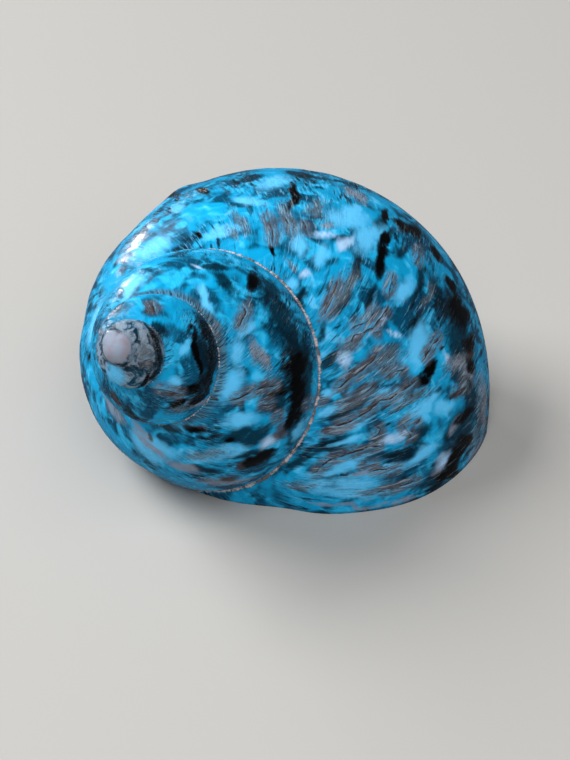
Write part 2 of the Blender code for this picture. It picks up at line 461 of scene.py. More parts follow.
def add_lip_and_cavity(skin, rim, columella):
    """The flat rim on the ground and the hollow that runs back from it into the last whorl."""
    centre = np.mean([skin.points[vertex] for vertex in rim], axis=0)
    arms = np.array([skin.points[vertex] for vertex in rim]) - centre
    walls = np.array([COLUMELLA_WALL if vertex in columella else LIP_WALL for vertex in rim])
    inner = arms * (1.0 - walls / np.linalg.norm(arms, axis=1))[:, None]
    for _ in range(CAVITY_ROUNDINGS):
        inner = (np.roll(inner, 1, axis=0) + 2.0 * inner + np.roll(inner, -1, axis=0)) / 4.0
    before = rim
    for line in range(CAVITY_LINES):
        share = line / CAVITY_LINES
        narrow = math.sqrt(1.0 - share ** CAVITY_TAPER)
        ring_points = regrown(centre + inner * narrow, -CAVITY_TURN * share)
        ring = [skin.add(point, hollow=1.0) for point in ring_points]
        for place in range(len(ring)):
            skin.face([before[place - 1], before[place], ring[place], ring[place - 1]])
        before = ring
    end = skin.add(regrown(centre, -CAVITY_TURN), hollow=1.0)
    for place in range(len(before)):
        skin.face([before[place - 1], before[place], end])


def feed(tree, socket, value):
    """Links a socket to another or sets its value."""
    if isinstance(value, bpy.types.NodeSocket):
        tree.links.new(value, socket)
    else:
        socket.default_value = value


def put(tree, kind, inputs=None, **settings):
    """A node with its settings and inputs. Inputs are given by name or by number."""
    node = tree.nodes.new(kind)
    for name, value in settings.items():
        setattr(node, name, value)
    for name, value in (inputs or {}).items():
        feed(tree, node.inputs[name], value)
    return node


def sums(tree, operation, *values):
    """A sum on numbers, each a value or another node's output."""
    node = put(tree, "ShaderNodeMath", operation=operation)
    for socket, value in zip(node.inputs, values):
        feed(tree, socket, value)
    return node.outputs[0]


def vectors(tree, operation, *values, scale=None):
    """A sum on vectors, each a value or another node's output."""
    node = put(tree, "ShaderNodeVectorMath", operation=operation)
    for socket, value in zip(node.inputs, values):
        feed(tree, socket, value)
    if scale is not None:
        feed(tree, node.inputs["Scale"], scale)
    return node.outputs["Vector"]


def growth_law():
    """A node group: a place of the growth plan in, its place on the rolled-up shell out."""
    law = bpy.data.node_groups.new("growth law", "GeometryNodeTree")
    entries = [
        ("Plan", "NodeSocketVector", None),
        ("Growth", "NodeSocketFloat", GROWTH),
        ("Start turn", "NodeSocketFloat", START_TURN),
        ("Tip", "NodeSocketVector", TIP),
        ("Axis", "NodeSocketVector", AXIS),
        ("Across", "NodeSocketVector", ACROSS),
    ]
    for name, kind, value in entries:
        entry = law.interface.new_socket(name, in_out="INPUT", socket_type=kind)
        if value is not None:
            entry.default_value = value
    law.interface.new_socket("Place", in_out="OUTPUT", socket_type="NodeSocketVector")
    law.interface.new_socket("Size", in_out="OUTPUT", socket_type="NodeSocketFloat")
    given = law.nodes.new("NodeGroupInput").outputs
    parts = put(law, "ShaderNodeSeparateXYZ", {0: given["Plan"]}).outputs
    size = sums(law, "EXPONENT", sums(law, "MULTIPLY", parts[0], given["Growth"]))
    turn = sums(law, "MULTIPLY", sums(law, "ADD", parts[0], given["Start turn"]), -1.0)
    along = vectors(law, "CROSS_PRODUCT", given["Axis"], given["Across"])
    around = vectors(
        law,
        "ADD",
        vectors(law, "SCALE", given["Across"], scale=sums(law, "COSINE", turn)),
        vectors(law, "SCALE", along, scale=sums(law, "SINE", turn)),
    )
    outward = vectors(law, "SCALE", around, scale=parts[1])
    down = vectors(law, "SCALE", given["Axis"], scale=parts[2])
    arm = vectors(law, "SCALE", vectors(law, "SUBTRACT", outward, down), scale=size)
    out = law.nodes.new("NodeGroupOutput")
    law.links.new(vectors(law, "ADD", given["Tip"], arm), out.inputs["Place"])
    law.links.new(size, out.inputs["Size"])
    return law


def new_tree(name, entries):
    """A Geometry Nodes tree with a geometry input and output and the named inputs."""
    tree = bpy.data.node_groups.new(name, "GeometryNodeTree")
    tree.interface.new_socket("Geometry", in_out="INPUT", socket_type="NodeSocketGeometry")
    for entry, kind, value in entries:
        socket = tree.interface.new_socket(entry, in_out="INPUT", socket_type=kind)
        if value is not None:
            socket.default_value = value
    tree.interface.new_socket("Geometry", in_out="OUTPUT", socket_type="NodeSocketGeometry")
    return tree, tree.nodes.new("NodeGroupInput").outputs


def named(tree, name, kind="FLOAT"):
    """Reads an attribute of the geometry."""
    node = put(tree, "GeometryNodeInputNamedAttribute", {"Name": name}, data_type=kind)
    return node.outputs["Attribute"]


def close_tree(tree, geometry, material):
    """Ends a tree with the instances made real and the material set."""
    real = put(tree, "GeometryNodeRealizeInstances", {"Geometry": geometry}).outputs[0]
    dressed = put(tree, "GeometryNodeSetMaterial", {"Geometry": real, "Material": material}).outputs[0]
    out = tree.nodes.new("NodeGroupOutput")
    tree.links.new(dressed, out.inputs[0])


def grounded(tree, place):
    """Lifts what is under the ground up to it, with a smooth start."""
    parts = put(tree, "ShaderNodeSeparateXYZ", {0: place}).outputs
    near = sums(tree, "ADD", parts[2], GROUND_BLEND)
    near = put(tree, "ShaderNodeClamp", {0: near, 1: 0.0, 2: 2.0 * GROUND_BLEND}).outputs[0]
    eased = sums(tree, "DIVIDE", sums(tree, "MULTIPLY", near, near), 4.0 * GROUND_BLEND)
    high = sums(tree, "MAXIMUM", sums(tree, "SUBTRACT", parts[2], GROUND_BLEND), 0.0)
    height = sums(tree, "MULTIPLY", sums(tree, "ADD", eased, high), named(tree, "free"))
    return put(tree, "ShaderNodeCombineXYZ", {0: parts[0], 1: parts[1], 2: height}).outputs[0]


def roll_up_tree(law):
    """Rolls the growth plan up and raises the low wrinkles that lie along the growth lines."""
    tree, given = new_tree("roll up", [
        ("Wrinkle height", "NodeSocketFloat", 0.16 * MM),
        ("Wrinkles per turn", "NodeSocketFloat", 62.0),
        ("Wrinkle length", "NodeSocketFloat", 5.0),
        ("Pleat height", "NodeSocketFloat", 0.18 * MM),
        ("Pleats per turn", "NodeSocketFloat", 80.0),
        ("Pleat length", "NodeSocketFloat", 3.0),
        ("Material", "NodeSocketMaterial", None),
    ])
    place = put(tree, "GeometryNodeInputPosition").outputs[0]
    rolled = put(tree, "GeometryNodeGroup", {"Plan": place}, node_tree=law).outputs
    coil = put(tree, "GeometryNodeSetPosition", {
        "Geometry": given["Geometry"],
        "Selection": named(tree, "coiled", "BOOLEAN"),
        "Position": grounded(tree, rolled["Place"]),
    }).outputs[0]
    age = sums(tree, "MULTIPLY", named(tree, "age"), given["Wrinkles per turn"])
    run = sums(tree, "MULTIPLY", named(tree, "share"), given["Wrinkle length"])
    lines = put(tree, "ShaderNodeCombineXYZ", {0: age, 1: run}).outputs[0]
    ripple = put(tree, "ShaderNodeTexNoise", {
        "Vector": lines, "Scale": 1.0, "Detail": 2.0, "Distortion": 0.6,
    }).outputs[0]
    height = sums(tree, "MULTIPLY", sums(tree, "SUBTRACT", ripple, 0.5), given["Wrinkle height"])
    height = sums(tree, "MULTIPLY", height, named(tree, "wrinkled"))
    pleats = put(tree, "ShaderNodeCombineXYZ", {
        0: sums(tree, "MULTIPLY", named(tree, "age"), given["Pleats per turn"]),
        1: sums(tree, "MULTIPLY", named(tree, "share"), given["Pleat length"]),
    }).outputs[0]
    pleat = put(tree, "ShaderNodeTexNoise", {"Vector": pleats, "Scale": 1.0, "Detail": 1.0}).outputs[0]
    pleat = sums(tree, "MULTIPLY", sums(tree, "SUBTRACT", pleat, 0.5), given["Pleat height"])
    height = sums(tree, "ADD", height, sums(tree, "MULTIPLY", pleat, named(tree, "pleated")))
    normal = put(tree, "GeometryNodeInputNormal").outputs[0]
    raised = put(tree, "GeometryNodeSetPosition", {
        "Geometry": coil,
        "Offset": vectors(tree, "SCALE", normal, scale=height),
    }).outputs[0]
    close_tree(tree, raised, given["Material"])
    return tree


def thread_tree(law):
    """Lays the small beads of the suture's thread along the rolled-up suture."""
    tree, given = new_tree("suture thread", [
        ("Beads", "NodeSocketInt", 380),
        ("Bead size", "NodeSocketFloat", 0.42 * MM),
        ("Seed", "NodeSocketInt", 4),
        ("Material", "NodeSocketMaterial", None),
    ])
    place = put(tree, "GeometryNodeInputPosition").outputs[0]
    rolled = put(tree, "GeometryNodeGroup", {"Plan": place}, node_tree=law).outputs
    kept = put(tree, "GeometryNodeStoreNamedAttribute", {
        "Geometry": given["Geometry"], "Name": "size", "Value": rolled["Size"],
    }, data_type="FLOAT").outputs[0]
    wire = put(tree, "GeometryNodeSetPosition", {
        "Geometry": kept, "Position": grounded(tree, rolled["Place"]),
    }).outputs[0]
    curve = put(tree, "GeometryNodeMeshToCurve", {"Mesh": wire}).outputs[0]
    evened = put(tree, "GeometryNodeResampleCurve", {"Curve": curve, "Count": given["Beads"]}).outputs[0]
    bead = put(tree, "GeometryNodeMeshIcoSphere", {"Radius": 1.0, "Subdivisions": 1}).outputs[0]
    turn = put(tree, "FunctionNodeAlignRotationToVector", {
        "Vector": put(tree, "GeometryNodeInputTangent").outputs[0],
    }, axis="X").outputs[0]
    grain = put(tree, "FunctionNodeRandomValue", {
        2: BEAD_SIZES[0], 3: BEAD_SIZES[1], "Seed": given["Seed"],
    }, data_type="FLOAT").outputs[1]
    size = sums(tree, "MULTIPLY", named(tree, "size"), given["Bead size"])
    shape = vectors(tree, "SCALE", BEAD_SHAPE, scale=sums(tree, "MULTIPLY", size, grain))
    beads = put(tree, "GeometryNodeInstanceOnPoints", {
        "Points": evened, "Instance": bead, "Rotation": turn, "Scale": shape,
    }).outputs[0]
    close_tree(tree, beads, given["Material"])
    return tree


def set_inputs(modifier, values):
    """Sets a tree's inputs on its modifier by their sockets' identifiers."""
    for entry in modifier.node_group.interface.items_tree:
        if entry.item_type == "SOCKET" and entry.in_out == "INPUT" and entry.name in values:
            modifier[entry.identifier] = values[entry.name]


def plain_mesh(name, mesh, tree, values):
    """The mesh that a tree makes of another, as a plain mesh without modifiers."""
    holder = bpy.data.objects.new(name, mesh)
    bpy.context.scene.collection.objects.link(holder)
    modifier = holder.modifiers.new("growth", "NODES")
    modifier.node_group = tree
    set_inputs(modifier, values)
    bpy.context.view_layer.update()
    graph = bpy.context.evaluated_depsgraph_get()
    made = bpy.data.meshes.new_from_object(holder.evaluated_get(graph), depsgraph=graph)
    bpy.data.objects.remove(holder, do_unlink=True)
    return made


def store(mesh, name, values, kind="FLOAT"):
    """Writes one value for each vertex as an attribute."""
    attribute = mesh.attributes.get(name) or mesh.attributes.new(name, kind, "POINT")
    attribute.data.foreach_set("value", np.asarray(values))


def skin_mesh():
    """The flat plan of the skin, ready to be rolled up, with its attributes and its growth map."""
    skin = Skin()
    columns = section()
    lips = lip_angles(columns)
    index = add_whorls(skin, columns, lips)
    add_tip(skin, index)
    inner_side = add_base(skin, index)
    outer_side = [int(index[LINES, column]) for column in range(COLUMNS, -1, -1)]
    rim = inner_side + outer_side
    add_lip_and_cavity(skin, rim, set(inner_side[: len(inner_side) // 2]))
    mesh = bpy.data.meshes.new("skin")
    mesh.from_pydata([tuple(place) for place in skin.plan], [], skin.faces)
    free = np.ones(len(skin.points), np.float32)
    free[rim] = 0.0
    age = np.array(skin.age)
    share = np.array(skin.share, np.float32)
    coiled = np.array(skin.coiled, bool)
    edge_fade = ramp(np.minimum(share, 1.0 - share), WRINKLE_EDGE)
    ground_fade = ramp(np.array(skin.points)[:, 2], WRINKLE_CLEAR)
    band = ramp(share, PLEAT_START) * ramp(PLEAT_END - share, PLEAT_FADE)
    stretch = ramp(age - PLEAT_TURNS[0], PLEAT_TURNS_FADE) * ramp(PLEAT_TURNS[1] - age, PLEAT_TURNS_FADE)
    store(mesh, "free", free)
    store(mesh, "share", share)
    store(mesh, "age", age)
    store(mesh, "hollow", skin.hollow)
    store(mesh, "wrinkled", edge_fade * ground_fade * coiled)
    store(mesh, "pleated", band * stretch * coiled)
    store(mesh, "coiled", coiled, "BOOLEAN")
    growth_map = mesh.uv_layers.new(name="growth")
    growth_map.data.foreach_set("uv", np.array(skin.maps, np.float32).ravel())
    return mesh, columns, lips


def suture_mesh(columns, lips):
    """The flat plan of the suture line."""
    angle = np.linspace(THREAD_START, lips[0] - THREAD_STOP, THREAD_POINTS)
    whole = swollen(np.repeat(angle[:, None], COLUMNS + 1, axis=1), columns)[:, 0]
    mesh = bpy.data.meshes.new("suture")
    mesh.from_pydata([tuple(place) for place in whole], [(i, i + 1) for i in range(len(whole) - 1)], [])
    store(mesh, "free", np.ones(len(whole), np.float32))
    return mesh


def photo_ray(x, y):
    """The direction from the camera through a place of the photograph."""
    focal = VIEW_LENS / SENSOR * FRAME_HEIGHT
    right = Vector((1.0, 0.0, 0.0))
    up = Vector((0.0, math.sin(VIEW_RISE), math.cos(VIEW_RISE)))
    back = Vector((0.0, -math.cos(VIEW_RISE), math.sin(VIEW_RISE)))
    return (right * (x - FRAME_WIDTH / 2) - up * (y - FRAME_HEIGHT / 2) - back * focal).normalized()


def place_camera():
    """The camera that sees the shell as the photograph does."""
    camera = bpy.data.cameras.new("camera")
    camera.lens = VIEW_LENS
    camera.sensor_width = SENSOR
    camera.clip_start = 0.01
    camera.clip_end = 20.0
    holder = bpy.data.objects.new("camera", camera)
    holder.location = VIEW_PLACE
    holder.rotation_euler = (math.pi / 2.0 - VIEW_RISE, 0.0, 0.0)
    bpy.context.scene.collection.objects.link(holder)
    bpy.context.scene.camera = holder


# Marks of the surface on the photograph's frame, with painted shade, reflections, glow and sheen among them,
# read one by one: place across and down, length, width, and tilt anticlockwise from the right
MARKS = {
    "ink_and_shade": [
        (293, 195, 26, 9, 80), (385, 216, 12, 8, 60), (402, 227, 20, 9, -40), (416, 233, 20, 8, -45),
        (381, 262, 32, 11, 80), (387, 240, 20, 8, 80), (459, 312, 36, 17, -78), (453, 288, 14, 6, -70),
        (470, 343, 14, 11, 60), (297, 368, 30, 20, 80), (296, 392, 44, 17, 85), (292, 417, 24, 9, 75),
        # painted shade: (199, 355) at the end of this line, and (190, 326) and (189, 389) on the next, lie
        # down the right side of a whorl just above its lower suture; together with the dye's own dark they
        # stand for the shade there
        (263, 457, 18, 9, 22), (251, 463, 17, 8, 5), (254, 281, 17, 10, -60), (199, 355, 58, 6, -83),
        (190, 326, 12, 8, 60), (189, 389, 34, 10, 18), (204, 191, 13, 5, -20), (199, 233, 10, 4, -45),
        (191, 427, 17, 7, 0),
        (216, 399, 9, 4, -20), (230, 441, 11, 7, 30), (421, 380, 20, 10, 40), (430, 369, 16, 9, 45),
        (456, 455, 30, 11, 60), (466, 441, 13, 12, 30), (449, 474, 20, 8, 20), (466, 414, 26, 7, 47),
        (456, 393, 18, 5, 25), (441, 347, 7, 6, 40), (275, 248, 14, 5, -70), (437, 254, 14, 6, -60),
        # painted shade: (161, 352) on this line, (207, 330), (213, 352) and (211, 376) on the next, and
        # (157, 338), (161, 356) and (156, 374) on the one after lie down the right sides of the whorls just
        # above their lower sutures; together with the dye's own dark they stand for the shade there
        (447, 281, 16, 5, -60), (161, 352, 32, 4, -85), (277, 395, 16, 7, 30), (262, 391, 14, 5, 15),
        (471, 366, 16, 7, -75), (207, 330, 34, 8, -62), (213, 352, 34, 8, -88), (211, 376, 32, 8, 80),
        (200, 397, 26, 8, 45), (157, 338, 22, 5, -62), (161, 356, 22, 6, -88), (156, 374, 20, 6, 62),
        (142, 386, 24, 5, 25), (180, 404, 20, 5, 20), (300, 412, 16, 6, 75),
    ],
    "deep_and_shade": [
        (283, 320, 60, 26, -60), (292, 345, 40, 22, -75), (297, 430, 44, 16, 60), (376, 228, 34, 14, 70),
        # painted shade: (205, 365) lies down the right side of a whorl just above its lower suture; together
        # with the dye's own dark it stands for the shade there
        (300, 175, 30, 10, -15), (270, 292, 40, 16, -55), (205, 365, 60, 14, -85), (180, 392, 40, 12, 10),
        (322, 330, 30, 10, 75), (440, 300, 60, 16, -70), (330, 445, 50, 14, 20), (300, 460, 40, 12, 40),
        (400, 455, 50, 12, 20), (345, 300, 30, 12, 60), (452, 430, 40, 14, 60), (215, 268, 40, 8, 5),
        (236, 436, 50, 20, 20), (225, 283, 40, 14, -40), (402, 250, 20, 14, 60), (250, 178, 34, 8, 15),
        (151, 309, 20, 8, 30), (364, 390, 40, 10, 30), (345, 410, 60, 8, 25), (160, 330, 20, 14, -60),
        # partly painted shade: (462, 345), (470, 395), (462, 430) and (440, 475) darken the right side,
        # which faces away from the light, and its lower part by the ground, together with the dye's own dark
        (462, 345, 70, 30, -78), (462, 430, 70, 34, 65), (440, 475, 50, 22, 35), (470, 395, 60, 20, -85),
        # painted shade: (307, 375), (206, 352) and (156, 352) lie down the right sides of the whorls just
        # above their lower sutures; together with the dye's own dark they stand for the shade there
        (307, 375, 110, 14, -88), (206, 352, 70, 9, -88), (156, 352, 44, 7, -85), (170, 428, 44, 9, -32),
        (258, 436, 44, 14, 38), (240, 455, 50, 9, 8), (214, 436, 26, 9, 10), (131, 414, 30, 8, -55),
        (280, 400, 40, 16, 80), (205, 470, 40, 8, 0), (420, 436, 40, 12, 45),
        (392, 466, 36, 9, 15), (370, 300, 30, 9, 70), (355, 270, 36, 9, 75), (420, 280, 30, 9, 70),
        (300, 300, 24, 10, 60), (330, 360, 30, 8, 40), (378, 404, 44, 8, 30), (415, 320, 24, 9, 60),
    ],
    "rust": [
        (470, 353, 13, 9, 70), (282, 430, 32, 14, 70), (230, 478, 26, 8, 5), (245, 464, 26, 9, 12),
        (198, 425, 16, 7, 5), (151, 436, 20, 4, -62), (332, 292, 46, 8, 66), (320, 318, 10, 6, 20),
        (362, 366, 50, 5, 43), (409, 437, 26, 6, 60), (340, 390, 26, 5, 35), (208, 329, 10, 6, -40),
        (116, 400, 24, 5, -65), (430, 352, 16, 6, 50), (266, 383, 22, 5, 15), (326, 430, 24, 7, 15),
    ],
    "ash": [
        (354, 194, 32, 12, -30), (327, 224, 24, 11, 0), (231, 233, 18, 10, -60), (242, 311, 40, 9, 62),
        (261, 361, 38, 14, -65), (117, 410, 32, 8, -60), (460, 361, 34, 14, 45), (336, 429, 44, 12, 20),
        (409, 421, 30, 8, 55), (427, 297, 32, 9, 60), (344, 290, 56, 20, 62), (289, 217, 44, 16, -72),
        (387, 363, 44, 22, 45), (380, 490, 56, 8, 10), (301, 484, 40, 9, 0), (181, 410, 26, 8, 10),
        (213, 322, 22, 10, -50), (318, 208, 24, 20, 0), (240, 222, 30, 12, -50), (350, 345, 44, 14, 45),
        (465, 380, 30, 14, -80), (100, 335, 40, 8, -80), (412, 400, 60, 10, 35), (357, 400, 50, 10, 28),
        (160, 340, 18, 12, -60), (143, 352, 24, 12, -70), (205, 455, 44, 12, 5), (480, 400, 60, 8, -88),
        (474, 440, 40, 10, 70), (290, 265, 20, 8, -60),
    ],
    "veil_and_sheen": [
        # painted sheen: (484, 405) is the pale band along the right edge, where the polish mirrors its
        # surroundings at a grazing angle
        (484, 405, 66, 9, -88), (477, 450, 44, 9, 66), (470, 372, 22, 12, -60), (457, 362, 22, 10, 45),
        (354, 194, 26, 9, -30), (327, 224, 18, 8, 0), (112, 408, 44, 9, -62), (150, 446, 60, 8, -38),
        (228, 482, 60, 8, 4), (100, 330, 50, 7, -82), (270, 441, 26, 12, 52), (261, 355, 34, 12, -62),
        (200, 404, 30, 9, 8), (140, 428, 40, 8, -50), (456, 425, 24, 10, 60), (185, 468, 40, 8, -20),
        (344, 424, 30, 8, 22), (440, 470, 22, 8, 30), (362, 470, 40, 6, 14), (213, 330, 20, 6, -55),
        # painted sheen: (350, 507) and (400, 500) are thin pale lines along the bottom edge, where the
        # polish mirrors its surroundings at a grazing angle
        (350, 507, 90, 5, -2), (400, 500, 40, 5, 12),
    ],
    "milk_and_glints": [
        # painted reflections: (304, 275) on this line, (326, 235) and (344, 243) on the next, and (394, 333)
        # on the one after are small sharp pale glints of lights on the polish; the other pale spots are the
        # shell's own
        (346, 359, 22, 14, 72), (304, 275, 13, 12, 0), (444, 460, 18, 12, 60), (388, 438, 22, 11, -8),
        (400, 436, 14, 7, 20), (378, 441, 14, 6, 10), (326, 235, 30, 8, -5), (344, 243, 22, 7, 40),
        (394, 333, 16, 8, -5), (199, 270, 16, 4, -22), (447, 361, 12, 5, -70), (270, 441, 26, 10, 52),
        (380, 324, 30, 5, 48), (356, 335, 26, 4, 35), (444, 461, 20, 13, 60),
    ],
    "sky_and_glow": [
        (236, 353, 26, 15, 60), (187, 347, 18, 10, 62), (173, 379, 18, 10, 10), (369, 238, 38, 28, 20),
        (349, 217, 44, 20, 0), (420, 343, 42, 24, 70), (249, 201, 34, 9, 0), (179, 206, 18, 8, 30),
        # partly painted reflection: (149, 249) lies in the soft glow beside the highlight at the upper left
        # and paints that glow in, over the shell's light blue
        (149, 249, 54, 18, 32), (444, 407, 20, 14, 30), (351, 460, 44, 6, 15), (273, 183, 34, 14, 10),
        (206, 458, 42, 10, 8), (147, 451, 46, 14, -42), (330, 394, 20, 9, 10), (346, 494, 70, 9, -5),
        (115, 380, 60, 14, -75), (95, 320, 50, 10, 75), (299, 240, 30, 14, -70), (404, 290, 34, 16, 70),
        (420, 410, 40, 12, 45), (330, 470, 60, 8, 12), (385, 470, 50, 7, 15), (240, 420, 40, 14, 10),
        (232, 385, 40, 20, 60), (246, 330, 24, 14, 60), (350, 440, 40, 6, 18), (432, 395, 20, 10, 45),
        (290, 285, 14, 16, 40), (160, 446, 50, 10, -30), (205, 300, 30, 10, -60), (320, 255, 26, 16, 70),
        (130, 285, 40, 12, 60), (400, 395, 16, 12, 10), (366, 312, 40, 6, 60), (225, 230, 40, 10, 20),
        (356, 484, 60, 15, 2), (318, 484, 34, 12, 0), (422, 455, 40, 10, 30), (384, 396, 24, 14, 20),
        (352, 425, 30, 9, 15), (300, 430, 24, 9, 50), (330, 410, 30, 8, 25), (228, 452, 44, 9, 8),
    ],
}

# Cracks and ledges on the photograph's frame, each a line of places
SEAMS = [
    [(386, 343), (371, 363), (360, 371), (350, 379), (340, 387), (327, 391)],
    [
        (420, 375), (410, 385), (401, 391), (390, 399), (380, 401),
        (370, 410), (357, 418), (343, 424), (328, 428),
    ],
    [
        (388, 449), (380, 446), (371, 446), (356, 451), (342, 456),
        (329, 460), (322, 466), (315, 472), (306, 474),
    ],
    [(337, 352), (342, 345), (350, 342), (354, 336), (364, 332), (372, 329), (380, 318), (391, 303)],
    [(391, 303), (389, 294), (391, 284), (394, 268)],
    [(300, 404), (312, 403), (322, 400), (334, 397)],
    [(340, 273), (337, 283), (335, 292), (325, 313), (314, 319)],
    [(266, 208), (270, 220), (273, 234), (274, 250)],
    [(413, 267), (418, 258), (419, 246), (414, 240)],
    [(285, 381), (275, 386), (262, 388), (252, 391), (240, 397), (226, 403)],
    [(366, 441), (377, 434), (380, 429), (371, 424)],
    [(393, 421), (404, 425), (411, 436), (404, 443)],
    [(425, 478), (411, 482), (400, 486), (385, 491), (372, 494)],
    [(367, 335), (377, 332), (386, 330)],
    [(447, 396), (458, 391), (468, 385)],
    [(330, 408), (345, 402), (360, 396), (372, 387), (377, 375)],
    [(346, 332), (356, 326), (366, 322), (374, 312), (384, 306)],
    [(240, 300), (245, 312), (240, 325), (232, 333)],
    [(352, 470), (368, 466), (384, 462)],
    [(382, 381), (390, 373), (404, 370), (410, 362)],
    [(266, 419), (276, 416), (288, 413)],
    [(252, 408), (264, 405), (280, 403)],
    [(148, 388), (160, 389), (174, 392), (190, 394)],
    [(133, 362), (146, 361), (158, 356)],
    [(423, 413), (419, 421), (411, 430)],
    [(156, 298), (152, 304), (154, 311), (158, 318)],
    [(444, 330), (436, 341), (428, 352), (420, 366)],
    [(404, 474), (396, 470), (380, 469), (364, 474)],
    [(300, 216), (306, 228), (309, 240)],
    [(283, 212), (289, 226), (292, 240)],
]

# Each scattered mark is a group of overlapping spots: shift along it and across it, and size
SPOTS = [(0.0, 0.0, 0.8), (0.75, 0.55, 0.55), (-0.80, -0.40, 0.6), (0.2, -1.1, 0.4)]

# Marks where the photograph doesn't look: how many spots, and a mark's length and width at the lip
SCATTER = {
    "ink_and_shade": (38, 5.0 * MM, 1.7 * MM),
    "deep_and_shade": (40, 6.0 * MM, 2.4 * MM),
    "rust": (22, 3.2 * MM, 1.0 * MM),
    "ash": (46, 5.0 * MM, 1.8 * MM),
    "veil_and_sheen": (24, 4.0 * MM, 1.4 * MM),
    "milk_and_glints": (20, 2.4 * MM, 1.4 * MM),
    "sky_and_glow": (60, 5.0 * MM, 2.6 * MM),
}


def read_points(mesh):
    """The places of the mesh's vertices."""
    points = np.empty(len(mesh.vertices) * 3, np.float32)
    mesh.vertices.foreach_get("co", points)
    return points.reshape(-1, 3).astype(float)


def read_value(mesh, name):
    """An attribute's value at each vertex."""
    values = np.empty(len(mesh.vertices), np.float32)
    mesh.attributes[name].data.foreach_get("value", values)
    return values.astype(float)


def read_normals(mesh):
    """The normal at each vertex."""
    normals = np.empty(len(mesh.vertices) * 3, np.float32)
    mesh.vertex_normals.foreach_get("vector", normals)
    return normals.reshape(-1, 3).astype(float)


def marked(points, age, centre, arms, at_age):
    """How far inside a mark each point lies: 1 at its centre, a half at its edge and 0 well outside."""
    to_mark = np.linalg.inv(np.stack(arms, axis=1))
    away = np.linalg.norm((points - centre) @ to_mark.T, axis=1)
    near = np.abs(age - at_age) < MARK_TURNS
    return np.where(near, np.clip(1.0 - 0.5 * away, 0.0, 1.0), 0.0)


def drifted(points):
    """The points moved about smoothly, so that a mark measured on them gets an uneven outline."""
    moved = np.empty_like(points)
    for place, point in enumerate(points):
        here = Vector(point)
        coarse = noise.noise_vector(here / DRIFT_COARSE[0]) * DRIFT_COARSE[1]
        fine = noise.noise_vector(here / DRIFT_FINE[0]) * DRIFT_FINE[1]
        moved[place] = here + coarse + fine
    return moved


class Seam:
    """One crack on the skin: close points, the way across at each, and a strength that fades at the ends."""

    def __init__(self, canvas, places):
        found = [canvas.seen_at(x, y) for x, y in places]
        found = [hit for hit in found if hit]
        knots = np.array([hit[0] for hit in found])
        normals = np.array([hit[1] for hit in found])
        length = np.linalg.norm(np.diff(knots, axis=0), axis=1).sum()
        count = max(4, round(length / SEAM_STEP))
        both = spaced(np.concatenate([knots, normals * MM], axis=1), count)
        line = both[:, :3]
        normals = both[:, 3:] / np.linalg.norm(both[:, 3:], axis=1)[:, None]
        along = np.gradient(line, axis=0)
        self.across = np.cross(normals, along)
        self.across /= np.linalg.norm(self.across, axis=1)[:, None]
        wobble = [noise.noise(Vector(point) / WOBBLE_WAVE) * SEAM_WOBBLE for point in line]
        self.points = line + self.across * np.array(wobble)[:, None]
        run = np.linspace(0.0, 1.0, count) * length
        uneven = np.array([noise.noise(Vector(point) / FADE_WAVE + FADE_SHIFT) for point in line])
        self.ends = ramp(np.minimum(run, length - run), SEAM_END)
        self.strength = self.ends * np.clip(SEAM_STRENGTH + uneven, SEAM_FAINTEST, 1.0)


class Seams:
    """All cracks together, with a tree that finds the nearest of their points."""

    def __init__(self, canvas):
        seams = [Seam(canvas, places) for places in SEAMS]
        self.points = np.concatenate([seam.points for seam in seams])
        self.across = np.concatenate([seam.across for seam in seams])
        self.strength = np.concatenate([seam.strength for seam in seams])
        self.ends = np.concatenate([seam.ends for seam in seams])
        self.tree = KDTree(len(self.points))
        for place, point in enumerate(self.points):
            self.tree.insert(Vector(point), place)
        self.tree.balance()


